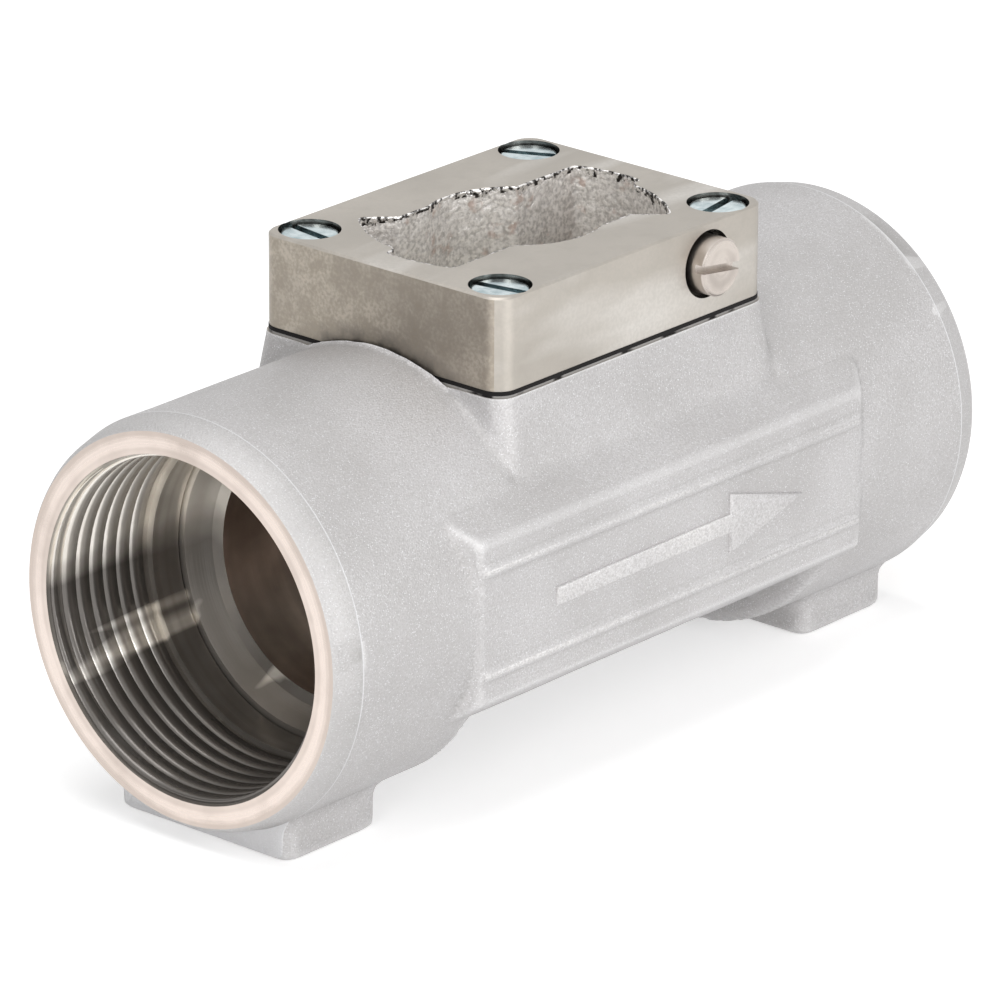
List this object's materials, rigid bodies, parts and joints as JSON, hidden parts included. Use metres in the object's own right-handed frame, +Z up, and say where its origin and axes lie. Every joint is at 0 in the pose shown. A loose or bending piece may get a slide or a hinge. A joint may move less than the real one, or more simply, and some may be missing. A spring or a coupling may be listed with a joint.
{
  "type": "flow sensor",
  "caption": "In-line paddle-wheel flow sensor: cast stainless pipe fitting on two feet, internal pipe threads, screwed flange with an open bayonet for the transmitter.",
  "frame": {"origin": "on the floor under the sensor axis, midway between the pipe ends", "axes": "+X along the pipe from the inlet to the outlet, +Z up along the sensor axis, the locking screw on -Y"},
  "size_m": [0.119, 0.052, 0.0628],
  "materials": {
    "cast_body": "fine blasted stainless casting",
    "gasket": "flat black rubber",
    "flange": "satin machined stainless",
    "flange_screws": "bright zinc plate",
    "locking_screw": "turned stainless",
    "holder": "natural fluoropolymer",
    "o_ring": "smooth black rubber",
    "pin": "ground stainless",
    "wheel": "natural fluoropolymer",
    "magnets": "sintered magnet",
    "ceramic": "ground ceramic"
  },
  "bodies": {
    "fitting": {"fitting_body": "cast_body", "flange_gasket": "gasket", "bayonet_flange": "flange", "flange_screw_1": "flange_screws", "flange_screw_2": "flange_screws", "flange_screw_3": "flange_screws", "flange_screw_4": "flange_screws", "sensor_holder": "holder", "holder_o_ring": "o_ring", "locating_pin": "pin", "bearing_bush_left": "ceramic", "bearing_bush_right": "ceramic", "bearing_plug_left": "holder", "bearing_plug_right": "holder"},
    "rotor": {"paddle_wheel": "wheel", "paddle_magnet_1": "magnets", "paddle_magnet_2": "magnets", "paddle_magnet_3": "magnets", "paddle_magnet_4": "magnets", "paddle_axle": "ceramic"},
    "lock": {"locking_screw": "locking_screw"}
  },
  "joints": [
    {"name": "wheel_spin", "type": "hinge", "parent": "fitting", "child": "rotor", "pos_m": [0, 0, 0.033], "axis": [0, 1, 0], "continuous": true},
    {"name": "locking_screw_travel", "type": "slide", "parent": "fitting", "child": "lock", "axis": [0, 1, 0], "range_m": [0, 0.0018]}
  ]
}
